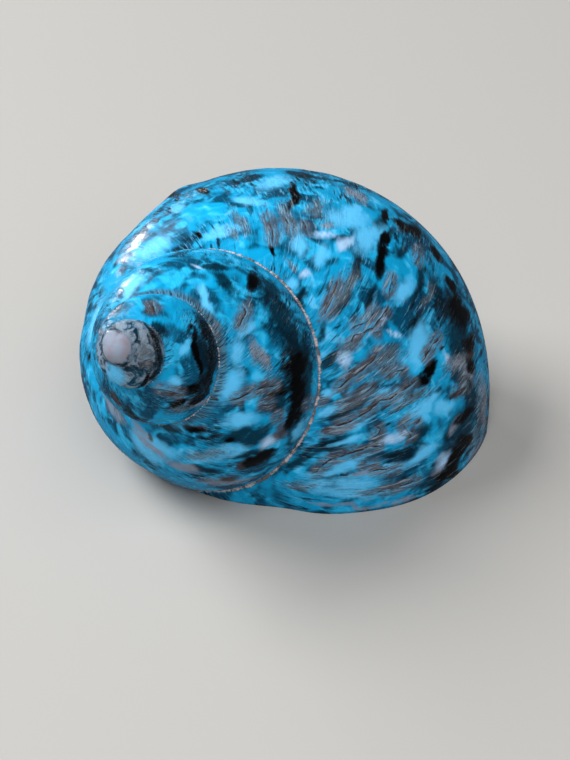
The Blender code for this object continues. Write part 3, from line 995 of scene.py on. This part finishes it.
class Canvas:
    """The rolled-up skin as something to place marks on."""

    def __init__(self, mesh):
        self.mesh = mesh
        self.points = read_points(mesh)
        self.normals = read_normals(mesh)
        self.age = read_value(mesh, "age")
        self.hollow = read_value(mesh, "hollow")
        self.faces = [tuple(polygon.vertices) for polygon in mesh.polygons]
        self.tree = BVHTree.FromPolygons([Vector(point) for point in self.points], self.faces)

    def seen_at(self, x, y):
        """Where the camera's ray through a place of the photograph meets the skin."""
        place, normal, face, _ = self.tree.ray_cast(VIEW_PLACE, photo_ray(x, y))
        if place is None:
            return None
        return np.array(place), np.array(normal), self.age[self.faces[face][0]]

    def on_plane(self, x, y, place, normal):
        """Where the ray through a place of the photograph meets the plane that touches the skin there."""
        ray = np.array(photo_ray(x, y))
        start = np.array(VIEW_PLACE)
        return start + ray * (np.dot(place - start, normal) / np.dot(ray, normal))

    def in_view(self, place, normal):
        """Whether the camera sees a place of the skin."""
        sight = Vector(place + normal * SIGHT_LIFT) - VIEW_PLACE
        met, _, _, distance = self.tree.ray_cast(VIEW_PLACE, sight.normalized())
        clear = met is not None and distance > sight.length - SIGHT_SLACK
        return clear and np.dot(normal, np.array(sight)) < 0.0

    def paint_all(self):
        """Stores each kind of mark as an attribute of the skin, and how near each point is to the tip."""
        loose = drifted(self.points)
        for name, marks in MARKS.items():
            placed = [self.placed(*mark) for mark in marks]
            field = np.zeros(len(self.points))
            for mark in [mark for mark in placed if mark] + self.scattered(*SCATTER[name]):
                field = np.maximum(field, marked(loose, self.age, *mark))
            store(self.mesh, name, field)
        away = np.linalg.norm(self.points - (TIP - AXIS * TIP_DOME_DEPTH), axis=1)
        store(self.mesh, "tip", np.clip(1.0 - 0.5 * away / BULB_RADIUS, 0.0, 1.0))

    def placed(self, x, y, length, width, tilt):
        """A mark of the photograph on the skin: its centre, its three half lengths and its growth age."""
        found = self.seen_at(x, y)
        if found is None:
            return None
        place, normal, age = found
        arms = []
        for reach, turn in ((length / 2.0, math.radians(tilt)), (width / 2.0, math.radians(tilt + 90.0))):
            end = self.on_plane(x + reach * math.cos(turn), y - reach * math.sin(turn), place, normal)
            arm = end - place
            arms.append(arm * min(1.0, MOST_STRETCH * PIXEL * reach / np.linalg.norm(arm)))
        depth = normal * MARK_DEPTH * max(np.linalg.norm(arm) for arm in arms)
        return place, [*arms, depth], age

    def scattered(self, count, length, width):
        """Marks for the sides that the photograph doesn't show, along the growth lines."""
        outside = np.where((self.hollow < 0.5) & (self.points[:, 2] > SCATTER_CLEAR))[0]
        made = []
        while len(made) < count:
            vertex = RNG.choice(outside)
            place = self.points[vertex]
            normal = self.normals[vertex]
            age = self.age[vertex]
            size = math.exp(GROWTH * 2.0 * math.pi * age)
            spread = RNG.uniform(*SCATTER_SIZES, 2)
            lean = RNG.normal(*SCATTER_LEAN)
            if self.in_view(place, normal):
                continue
            growing = unit(np.cross(place - TIP, AXIS))
            growing = unit(growing - normal * np.dot(growing, normal))
            across = np.cross(normal, growing)
            run = across * math.cos(lean) + growing * math.sin(lean)
            half = run * 0.5 * length * spread[0] * size
            side = np.cross(normal, run) * 0.5 * width * spread[1] * size
            depth = normal * np.linalg.norm(half)
            for ahead, aside, share in SPOTS:
                centre = place + half * ahead + side * aside
                made.append((centre, [half * share, side * share, depth], age))
        return made


def split_near(mesh, seams):
    """Splits the faces near the cracks, so that the mesh can carry them."""
    solid = bmesh.new()
    solid.from_mesh(mesh)
    for reach in SPLIT_REACHES:
        edges = [
            edge for edge in solid.edges
            if seams.tree.find((edge.verts[0].co + edge.verts[1].co) / 2.0)[2] < reach
        ]
        bmesh.ops.subdivide_edges(solid, edges=edges, cuts=1, use_grid_fill=True)
    solid.to_mesh(mesh)
    solid.free()


def cut_seams(mesh, seams):
    """Sinks the cracks, raises the ledge beside each and stores them as attributes for the colour."""
    points = read_points(mesh)
    normals = read_normals(mesh)
    crack = np.zeros(len(points))
    ledge = np.zeros(len(points))
    frayed = np.zeros(len(points))
    for place, point in enumerate(points):
        _, nearest, gap = seams.tree.find(Vector(point))
        if gap > FRAYED_REACH:
            continue
        frayed[place] = seams.ends[nearest] * math.exp(-(gap / FRAYED_WIDTH) ** 2)
        if gap > SEAM_REACH:
            continue
        side = float(np.dot(point - seams.points[nearest], seams.across[nearest]))
        strength = seams.strength[nearest]
        crack[place] = strength * math.exp(-(gap / SEAM_WIDTH) ** 2)
        if side > 0.0:
            fade = min(1.0, (SEAM_REACH - gap) / (SEAM_REACH - LEDGE_WIDTH))
            ledge[place] = strength * fade * math.exp(-(gap / LEDGE_WIDTH) ** 2)
    points += normals * (ledge * LEDGE_HEIGHT - crack * SEAM_DEPTH)[:, None]
    mesh.vertices.foreach_set("co", points.astype(np.float32).ravel())
    store(mesh, "crack", crack)
    store(mesh, "ledge", ledge)
    store(mesh, "frayed", frayed)
    mesh.update()


class Finish:
    """Builds one material's nodes in short calls."""

    def __init__(self, name):
        self.material = bpy.data.materials.new(name)
        self.material.use_nodes = True
        self.tree = self.material.node_tree
        self.shader = self.tree.nodes["Principled BSDF"]
        self.place = put(self.tree, "ShaderNodeTexCoord").outputs["Object"]

    def noise(self, vector, scale, detail, rough=0.5, bend=0.0):
        """Noise of so many waves for each unit of the vector."""
        return put(self.tree, "ShaderNodeTexNoise", {
            "Vector": vector, "Scale": scale, "Detail": detail, "Roughness": rough, "Distortion": bend,
        }).outputs[0]

    def between(self, value, low, high, to_low=0.0, to_high=1.0):
        """A smooth step from one value at low to another at high."""
        return put(self.tree, "ShaderNodeMapRange", {
            0: value, 1: low, 2: high, 3: to_low, 4: to_high,
        }, interpolation_type="SMOOTHSTEP").outputs[0]

    def field(self, name):
        """An attribute of the mesh."""
        return put(self.tree, "ShaderNodeAttribute", attribute_name=name).outputs["Fac"]

    def mix(self, share, first, second):
        """The second colour over the first, by a share."""
        node = put(self.tree, "ShaderNodeMix", data_type="RGBA")
        feed(self.tree, node.inputs[0], share)
        feed(self.tree, node.inputs[6], first)
        feed(self.tree, node.inputs[7], second)
        return node.outputs[2]

    def plus(self, first, second):
        """Two numbers added."""
        return sums(self.tree, "ADD", first, second)

    def less(self, first, second):
        """The second number taken from the first."""
        return sums(self.tree, "SUBTRACT", first, second)

    def times(self, first, second):
        """Two numbers multiplied."""
        return sums(self.tree, "MULTIPLY", first, second)

    def most(self, first, second):
        """The larger of two numbers."""
        return sums(self.tree, "MAXIMUM", first, second)

    def set(self, name, value):
        """Sets one of the shader's inputs."""
        feed(self.tree, self.shader.inputs[name], value)


# Colours of the dyed and polished surface, some also laid as painted shade, reflections, glow, sheen and
# highlight
AZURE = (0.003, 0.335, 0.640, 1.0)
AZURE_DEEP = (0.001, 0.066, 0.136, 1.0)
AZURE_BRIGHT = (0.020, 0.490, 0.870, 1.0)
SKY = (0.115, 0.580, 0.980, 1.0)
DEEP = (0.0006, 0.011, 0.021, 1.0)
SMOKE_AND_SHADE = (0.003, 0.007, 0.010, 1.0)
INK_AND_SHADE = (0.0006, 0.0007, 0.0010, 1.0)
RUST = (0.070, 0.034, 0.024, 1.0)
ASH = (0.110, 0.160, 0.200, 1.0)
MILK_AND_GLINTS = (0.420, 0.660, 0.950, 1.0)
CRACK = (0.040, 0.024, 0.019, 1.0)
PALE_FIBRE = (0.300, 0.420, 0.500, 1.0)
TIP_PINK = (0.270, 0.240, 0.290, 1.0)
TIP_PALE = (0.270, 0.320, 0.410, 1.0)
FRAY = (0.120, 0.115, 0.130, 1.0)
VEIL_AND_SHEEN = (0.250, 0.290, 0.370, 1.0)
TIP_ASH = (0.230, 0.290, 0.360, 1.0)
NACRE = (0.520, 0.600, 0.640, 1.0)
THREAD_GREY = (0.140, 0.138, 0.150, 1.0)
THREAD_PALE = (0.520, 0.470, 0.485, 1.0)

# Patterns on the surface: waves in a metre, and for streaks the waves in a turn of growth and across a whorl
CLOUDS = 230.0
PATCHES = 480.0
ZONES = 150.0
VEINS = 800.0
GRAIN = 900.0
SPECKS = 1500.0
FIBRES = (150.0, 9.0, 1.0)
STRANDS = (420.0, 14.0, 1.0)
# the waves of the painted shade in the pleats' folds
FOLDS = (300.0, 9.0, 1.0)
RAGS = (110.0, 9.0, 1.0)

# The turns of growth over which the early whorls' veins take over, then the polish: how rough it is, how
# much it mirrors, the clear coat on it and the low relief in it
VEINED_TURNS = (-2.35, -2.68)
GLOSS = (0.16, 0.30)
MIRROR = 0.13
COAT = 0.08
COAT_GLOSS = 0.06
RELIEF_STRENGTH = 0.45
RELIEF_HEIGHT = 0.15 * MM
THREAD_GLOSS = (0.40, 0.60)
THREAD_MIRROR = 0.20

# Marks in the order they lie on each other, with painted shade, reflections, glow and sheen among them:
# name, colour, where the edge starts and ends, the most that it covers, and raggedness
LAYERS = [
    # partly painted shade: this layer also holds the shade painted down the whorls' right sides and on the
    # shell's right side
    ("deep_and_shade", DEEP, 0.34, 0.74, 0.92, 0.9),
    # partly painted reflection: this layer also holds the glow painted beside the upper left highlight
    ("sky_and_glow", SKY, 0.30, 0.80, 0.92, 0.7),
    ("ash", ASH, 0.42, 0.82, 0.70, 1.1),
    # partly painted sheen: this layer also holds the sheen painted along the right and bottom edges
    ("veil_and_sheen", VEIL_AND_SHEEN, 0.36, 0.82, 0.80, 1.0),
    # partly painted reflections: this layer also holds the small glints painted on the polish
    ("milk_and_glints", MILK_AND_GLINTS, 0.28, 0.88, 0.97, 0.40),
    ("rust", RUST, 0.42, 0.78, 0.80, 1.1),
    # partly painted shade: these two layers also hold the shade painted down the whorls' right sides
    ("ink_and_shade", SMOKE_AND_SHADE, 0.24, 0.50, 0.80, 1.0),
    ("ink_and_shade", INK_AND_SHADE, 0.38, 0.64, 1.0, 0.9),
]


class DyedShell(Finish):
    """The polished flank's material, laid in steps from the clouds up to the worn tip."""

    def __init__(self):
        super().__init__("dyed shell")
        self.growth = put(self.tree, "ShaderNodeUVMap", uv_map="growth").outputs[0]
        self.cloud = self.noise(self.place, CLOUDS, 2.0, 0.5, 0.6)
        self.patch = self.noise(self.place, PATCHES, 2.0, 0.5, 0.6)
        self.zone = self.between(self.noise(self.place, ZONES, 1.0, 0.5, 0.3), 0.44, 0.58)
        self.speck = self.noise(self.place, SPECKS, 3.0, 0.6)
        self.fibre = self.streaks(FIBRES, 4.0, 0.6, 0.5)
        self.strand = self.streaks(STRANDS, 3.0, 0.6, 0.4)
        self.frayed = self.between(self.field("frayed"), 0.10, 0.80)
        fibrous = self.most(self.between(self.field("ash"), 0.15, 0.6), self.times(self.zone, 0.30))
        self.fibrous = self.most(fibrous, self.frayed)
        off_middle = sums(self.tree, "ABSOLUTE", self.less(self.strand, 0.5))
        self.hairs = self.times(self.between(off_middle, 0.035, 0.0), self.fibrous)
        self.colour = self.mix(self.between(self.cloud, 0.41, 0.57), AZURE_DEEP, AZURE)

    def streaks(self, waves, detail, rough, bend):
        """Noise that is drawn out along the growth lines."""
        return self.noise(vectors(self.tree, "MULTIPLY", self.growth, waves), 1.0, detail, rough, bend)

    def lay(self, tone, share):
        """Lays a tone over the colour so far."""
        self.colour = self.mix(share, self.colour, tone)

    def lay_clouds(self):
        """Bright patches, dark fibres and fine streaks over the azure and teal clouds."""
        self.lay(AZURE_BRIGHT, self.between(self.patch, 0.48, 0.68, 0.0, 0.9))
        bright = self.between(self.cloud, 0.46, 0.60, 0.0, 0.9)
        self.lay(SKY, self.times(self.between(self.patch, 0.58, 0.72), bright))
        self.lay(DEEP, self.times(self.between(self.fibre, 0.49, 0.35, 0.0, 0.95), self.zone))
        dull = self.between(self.cloud, 0.56, 0.44)
        streaked = self.plus(self.times(dull, 0.5), self.times(self.zone, 0.5))
        self.lay(DEEP, self.times(self.between(self.strand, 0.47, 0.34, 0.0, 0.65), streaked))
        self.lay(SKY, self.times(self.between(self.strand, 0.55, 0.70, 0.0, 0.55), streaked))

    def lay_veins(self):
        """The grey veins of the early whorls, which the dye took less."""
        veins = self.between(self.noise(self.place, VEINS, 3.0, 0.65, 0.8), 0.40, 0.58)
        self.lay(self.mix(veins, DEEP, TIP_ASH), self.between(self.field("age"), *VEINED_TURNS, 0.0, 0.88))

    def lay_marks(self):
        """The placed marks, with ragged edges; painted shade, painted reflections, a painted glow and a
        painted sheen are among them.
        """
        edge = self.times(self.less(self.streaks(RAGS, 5.0, 0.70, 0.8), 0.5), 0.75)
        ragged = self.plus(edge, self.times(self.less(self.speck, 0.5), 0.22))
        for name, tone, low, high, most, raggedness in LAYERS:
            inside = self.plus(self.field(name), self.times(ragged, raggedness))
            near = self.between(self.field(name), 0.02, 0.25)
            self.lay(tone, self.times(self.between(inside, low, high, 0.0, most), near))

    def lay_frays(self):
        """The frayed bands along the cracks, with their pale fibres and dark hairs, and the ledges, with a
        painted highlight on them.
        """
        self.lay(FRAY, self.times(self.frayed, self.between(self.strand, 0.38, 0.58, 0.25, 0.85)))
        pale = self.times(self.between(self.strand, 0.56, 0.66), self.fibrous)
        self.lay(PALE_FIBRE, self.times(pale, 0.55))
        self.lay(CRACK, self.times(self.hairs, 0.80))
        # painted highlight: a pale blue laid on the raised ledge beside each crack, where it catches the
        # light
        self.lay(SKY, self.times(self.field("ledge"), 0.25))

    def lay_folds_and_cracks(self):
        """The pleats under the suture, pale with painted shade in their folds, and the cracks."""
        self.lay(ASH, self.times(self.field("pleated"), 0.65))
        # painted shade: dark lines in the pleats' folds, finer than the pleats that the mesh carries
        folds = self.between(self.streaks(FOLDS, 3.0, 0.6, 0.4), 0.54, 0.44)
        self.lay(SMOKE_AND_SHADE, self.times(self.times(folds, self.field("pleated")), 0.85))
        broken = self.between(self.speck, 0.30, 0.50, 0.55, 1.0)
        self.lay(CRACK, self.times(self.between(self.field("crack"), 0.15, 0.7), broken))

    def lay_tip_and_inside(self):
        """The worn bulb at the tip, and the pearly inside."""
        tip = self.plus(self.field("tip"), self.times(self.less(self.patch, 0.5), 0.25))
        bulb = self.mix(self.between(self.patch, 0.35, 0.65), TIP_PINK, TIP_PALE)
        self.lay(bulb, self.between(tip, 0.44, 0.56))
        self.lay(NACRE, self.between(self.field("hollow"), 0.2, 0.8))

    def polish(self):
        """The polish over the colour, with the low relief of the fibres in it."""
        bumps = self.plus(self.times(self.strand, 0.5), self.times(self.fibre, 0.7))
        bumps = self.times(bumps, self.plus(self.times(self.fibrous, 0.8), 0.5))
        bumps = self.less(bumps, self.times(self.hairs, 0.7))
        bump = put(self.tree, "ShaderNodeBump", {
            "Strength": RELIEF_STRENGTH, "Distance": RELIEF_HEIGHT, "Height": bumps,
        })
        self.set("Base Color", self.colour)
        self.set("Roughness", self.between(self.speck, 0.3, 0.7, *GLOSS))
        self.set("Specular IOR Level", MIRROR)
        self.set("Coat Weight", COAT)
        self.set("Coat Roughness", COAT_GLOSS)
        self.set("Normal", bump.outputs[0])


def dyed_shell():
    """The polished flank: azure and teal clouds, fibres along the growth lines, and the placed marks, with
    painted shade, reflections, glow, sheen and a painted highlight among them.
    """
    made = DyedShell()
    made.lay_clouds()
    made.lay_veins()
    made.lay_marks()
    made.lay_frays()
    made.lay_folds_and_cracks()
    made.lay_tip_and_inside()
    made.polish()
    return made.material


def thread_finish():
    """The pale thread of the suture."""
    made = Finish("suture thread")
    grain = made.noise(made.place, GRAIN, 3.0, 0.65)
    made.set("Base Color", made.mix(made.between(grain, 0.42, 0.58), THREAD_GREY, THREAD_PALE))
    made.set("Roughness", made.between(grain, 0.3, 0.7, *THREAD_GLOSS))
    made.set("Specular IOR Level", THREAD_MIRROR)
    return made.material


def turn_outwards(mesh):
    """Makes all faces of a closed mesh point outwards."""
    solid = bmesh.new()
    solid.from_mesh(mesh)
    bmesh.ops.recalc_face_normals(solid, faces=solid.faces)
    solid.to_mesh(mesh)
    solid.free()


def joined(name, meshes):
    """One object from several meshes, each with its own material, and with nothing under the ground."""
    whole = bmesh.new()
    materials = []
    for mesh in meshes:
        start = len(whole.faces)
        whole.from_mesh(mesh)
        whole.faces.ensure_lookup_table()
        for place in range(start, len(whole.faces)):
            whole.faces[place].material_index = len(materials)
        materials.append([material for material in mesh.materials if material][-1])
    mesh = bpy.data.meshes.new(name)
    whole.to_mesh(mesh)
    whole.free()
    for material in materials:
        mesh.materials.append(material)
    mesh.polygons.foreach_set("use_smooth", [True] * len(mesh.polygons))
    points = read_points(mesh)
    points[:, 2] = np.maximum(points[:, 2], 0.0)
    mesh.vertices.foreach_set("co", points.astype(np.float32).ravel())
    mesh.update()
    made = bpy.data.objects.new(name, mesh)
    bpy.context.scene.collection.objects.link(made)
    return made


def build_shell():
    """The whole shell, with its marks, as one piece."""
    law = growth_law()
    plan, columns, lips = skin_mesh()
    line = suture_mesh(columns, lips)
    skin = plain_mesh("skin", plan, roll_up_tree(law), {"Material": dyed_shell()})
    thread = plain_mesh("thread", line, thread_tree(law), {"Material": thread_finish()})
    turn_outwards(skin)
    seams = Seams(Canvas(skin))
    split_near(skin, seams)
    cut_seams(skin, seams)
    Canvas(skin).paint_all()
    return joined("turban_shell", [skin, thread])


# Floor and light: each light's place, width, height and power, and whether the polish mirrors it
FLOOR_HALF = 4.0
FLOOR_COLOUR = (0.44, 0.43, 0.41, 1.0)
FLOOR_ROUGHNESS = 0.6
LIGHTS = {
    "key": ((-0.48, 0.16, 0.52), 0.40, 0.40, 6.0, False),
    "side": ((-0.47, 0.56, 0.36), 0.30, 0.24, 0.75, True),
    "strip": ((-0.47, 0.69, 0.06), 0.03, 0.11, 1.7, True),
    "front": ((0.10, -0.50, 0.75), 0.80, 0.80, 7.0, False),
}
LIGHT_AIM = Vector((0.0, 0.0, 0.012))
AMBIENT_COLOUR = (0.84, 0.90, 1.00, 1.0)
AMBIENT_STRENGTH = 0.10


def plain_floor():
    """The pale floor that the shell rests on. The polish doesn't mirror it."""
    half = FLOOR_HALF
    corners = [(-half, -half, 0.0), (half, -half, 0.0), (half, half, 0.0), (-half, half, 0.0)]
    mesh = bpy.data.meshes.new("floor")
    mesh.from_pydata(corners, [], [(0, 1, 2, 3)])
    floor = bpy.data.objects.new("floor", mesh)
    bpy.context.scene.collection.objects.link(floor)
    material = bpy.data.materials.new("pale floor")
    material.use_nodes = True
    shader = material.node_tree.nodes["Principled BSDF"]
    shader.inputs["Base Color"].default_value = FLOOR_COLOUR
    shader.inputs["Roughness"].default_value = FLOOR_ROUGHNESS
    mesh.materials.append(material)
    floor.visible_glossy = False
    return floor


def soft_light(name, place, width, height, power, mirrored):
    """A rectangular studio light that faces the shell."""
    light = bpy.data.lights.new(name, "AREA")
    light.shape = "RECTANGLE"
    light.size = width
    light.size_y = height
    light.energy = power
    holder = bpy.data.objects.new(name, light)
    holder.location = place
    holder.rotation_euler = (LIGHT_AIM - Vector(place)).to_track_quat("-Z", "Y").to_euler()
    holder.visible_glossy = mirrored
    bpy.context.scene.collection.objects.link(holder)


def light_studio():
    """Soft studio light with a faint cool light from all round."""
    for name, settings in LIGHTS.items():
        soft_light(name, *settings)
    world = bpy.data.worlds.new("studio")
    bpy.context.scene.world = world
    world.use_nodes = True
    background = world.node_tree.nodes["Background"]
    background.inputs[0].default_value = AMBIENT_COLOUR
    background.inputs[1].default_value = AMBIENT_STRENGTH
    bpy.context.scene.view_settings.view_transform = "Standard"


shell = build_shell()
floor = plain_floor()
light_studio()
place_camera()
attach(shell, "root")
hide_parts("shell")
bpy.context.view_layer.update()
